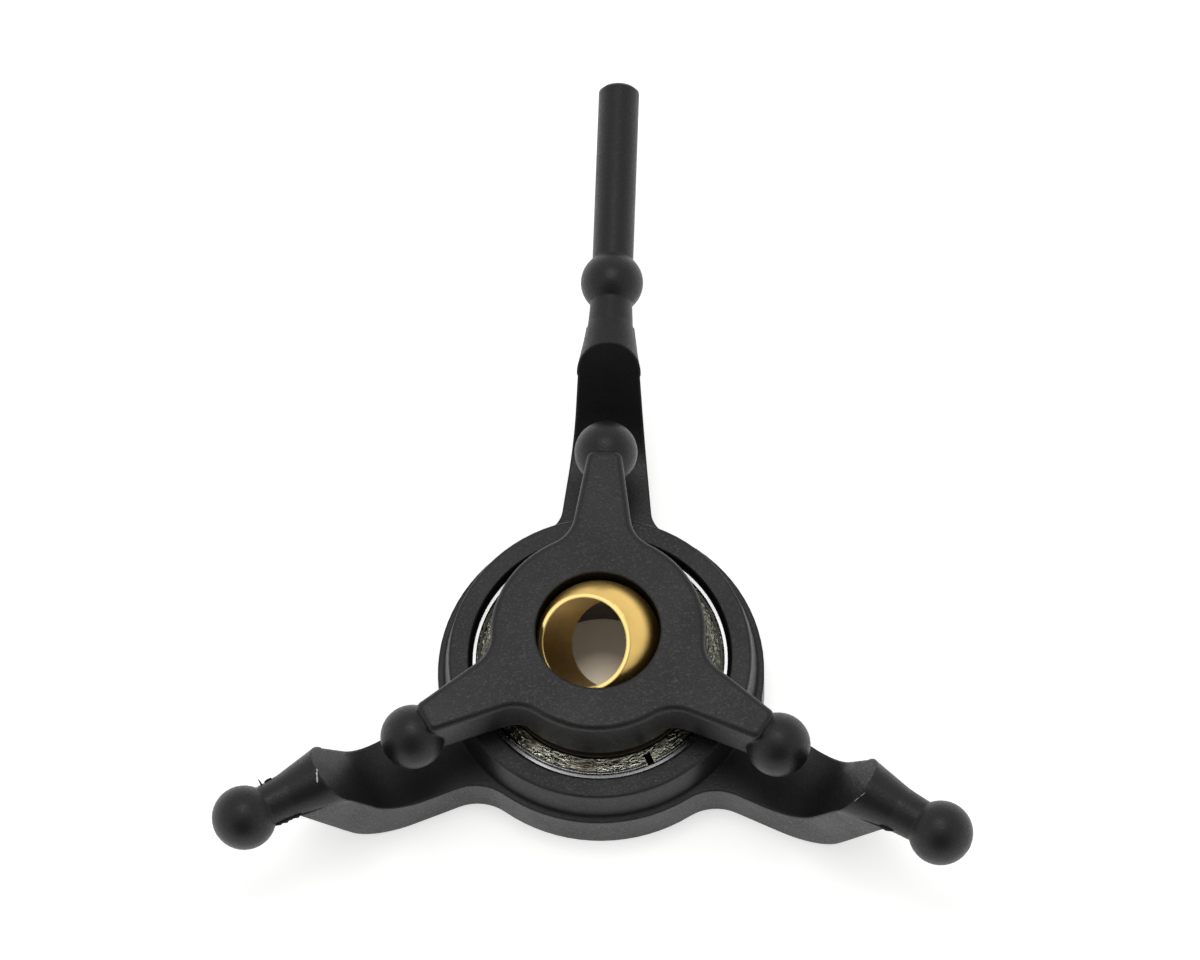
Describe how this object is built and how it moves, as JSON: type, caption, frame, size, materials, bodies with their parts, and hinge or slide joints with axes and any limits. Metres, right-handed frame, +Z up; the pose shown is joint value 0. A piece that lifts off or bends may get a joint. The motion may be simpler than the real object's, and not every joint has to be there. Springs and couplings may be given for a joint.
{
  "type": "helicopter swashplate",
  "caption": "Swashplate of a model helicopter: still ring with Z-bent arms and pin, turning star on a shielded bearing, link balls all round, tilting gold uniball.",
  "frame": {"origin": "tilt centre: middle of the uniball, on the rotor axis", "axes": "+Z up the main shaft, +Y along the anti-rotation pin, +X to the right seen from the ball side with the pin away from the viewer"},
  "size_m": [0.0422, 0.0477, 0.0101],
  "materials": {
    "ring_nylon": "matte black glass-filled nylon with a fine speckle",
    "star_nylon": "matte black glass-filled nylon with a fine speckle",
    "gold_metal": "turned, polished gold-coloured metal",
    "race_steel": "ground bearing steel",
    "shield_metal": "thin pressed shield with a warm, streaky sheen",
    "snap_ring_steel": "bright spring steel"
  },
  "bodies": {
    "lower_ring": {"outer_ring": "ring_nylon", "bearing_outer_race": "race_steel", "upper_shield": "shield_metal", "lower_shield": "shield_metal", "upper_snap_ring": "snap_ring_steel", "lower_snap_ring": "snap_ring_steel"},
    "rotating_star": {"star": "star_nylon", "bearing_inner_race": "race_steel"},
    "swivel_ball": {"uniball": "gold_metal"}
  },
  "joints": [
    {"name": "star_spin", "type": "hinge", "parent": "lower_ring", "child": "rotating_star", "pos_m": [0, 0, 0], "axis": [0, 0, 1], "continuous": true},
    {"name": "uniball_tilt", "type": "hinge", "parent": "rotating_star", "child": "swivel_ball", "pos_m": [0, 0, 0], "axis": [0.7314, -0.682, 0], "range_deg": [-58, 0]}
  ]
}
